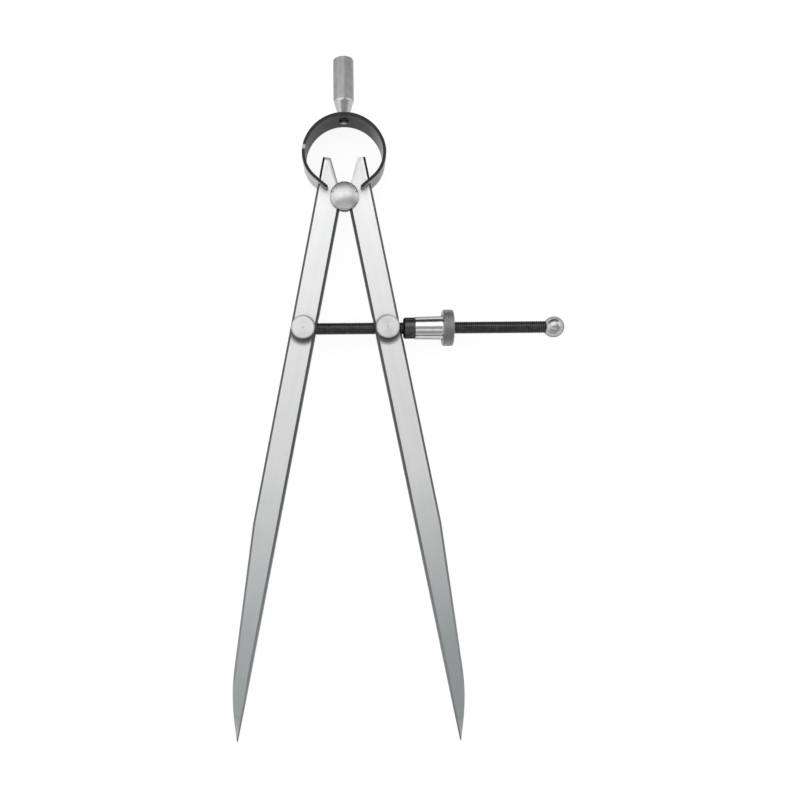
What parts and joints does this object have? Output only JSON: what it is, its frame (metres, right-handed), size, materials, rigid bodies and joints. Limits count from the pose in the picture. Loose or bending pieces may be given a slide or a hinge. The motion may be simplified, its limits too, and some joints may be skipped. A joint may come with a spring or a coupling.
{
  "type": "spring divider",
  "caption": "Spring divider for marking out: pointed steel legs on a fulcrum stud, a bow spring with a finger grip, and a threaded rod with a knurled nut that sets the span.",
  "frame": {"origin": "centre of the flat rear face of the fulcrum cap, on the fulcrum axis", "axes": "+Y along the tool towards the handle, +X towards the screw's ball end, +Z out of the front, along the fulcrum axis"},
  "size_m": [0.1213, 0.2481, 0.0133],
  "materials": {
    "leg_steel": "satin ground steel with dark edges",
    "turned_steel": "bright turned steel with fine turning marks",
    "spring_steel": "dark tempered spring steel",
    "handle_steel": "satin steel",
    "black_steel": "black oxide",
    "polished_steel": "polished, with a fine knurl on the flange"
  },
  "bodies": {
    "head": {"fulcrum_stud": "turned_steel", "fulcrum_cap": "turned_steel", "bow_spring": "spring_steel", "handle": "handle_steel"},
    "left_leg": {"left_leg": "leg_steel"},
    "right_leg": {"right_leg": "leg_steel"},
    "screw": {"left_swivel_stud": "turned_steel", "adjusting_screw": "black_steel", "ball_end": "polished_steel"},
    "right_swivel": {"right_swivel_stud": "turned_steel"},
    "collar": {"thrust_collar": "black_steel"},
    "nut": {"adjusting_nut": "polished_steel"}
  },
  "joints": [
    {"name": "left_leg_swing", "type": "hinge", "parent": "head", "child": "left_leg", "pos_m": [0, 0, 0.0067], "axis": [0, 0, 1], "range_deg": [-17.5, 11.5], "deforming": ["bow_spring"]},
    {"name": "right_leg_swing", "type": "hinge", "parent": "head", "child": "right_leg", "pos_m": [0, 0, 0.0067], "axis": [0, 0, 1], "range_deg": [-11.5, 17.5], "deforming": ["bow_spring"]},
    {"name": "left_swivel_turn", "type": "hinge", "parent": "left_leg", "child": "screw", "pos_m": [-0.01521, -0.04724, 0.0067], "axis": [0, 0, 1], "range_deg": [-11.5, 17.5]},
    {"name": "right_swivel_turn", "type": "hinge", "parent": "right_leg", "child": "right_swivel", "pos_m": [0.01521, -0.04724, 0.0067], "axis": [0, 0, 1], "range_deg": [-17.5, 11.5]},
    {"name": "collar_slide", "type": "slide", "parent": "right_swivel", "child": "collar", "axis": [1, 0, 0], "range_m": [-0.00099, 0.00151]},
    {"name": "nut_spin", "type": "hinge", "parent": "collar", "child": "nut", "pos_m": [0.03, -0.04724, 0.0067], "axis": [1, 0, 0], "range_deg": [-8802, 13395]}
  ],
  "couplings": [
    {"joint": "right_leg_swing", "follows": "left_leg_swing", "ratio": -1},
    {"joint": "left_swivel_turn", "follows": "left_leg_swing", "ratio": -1},
    {"joint": "right_swivel_turn", "follows": "left_leg_swing", "ratio": 1},
    {"joint": "collar_slide", "follows": "left_leg_swing", "m_per_rad": -0.00492},
    {"joint": "nut_spin", "follows": "left_leg_swing", "ratio": -765.36}
  ]
}
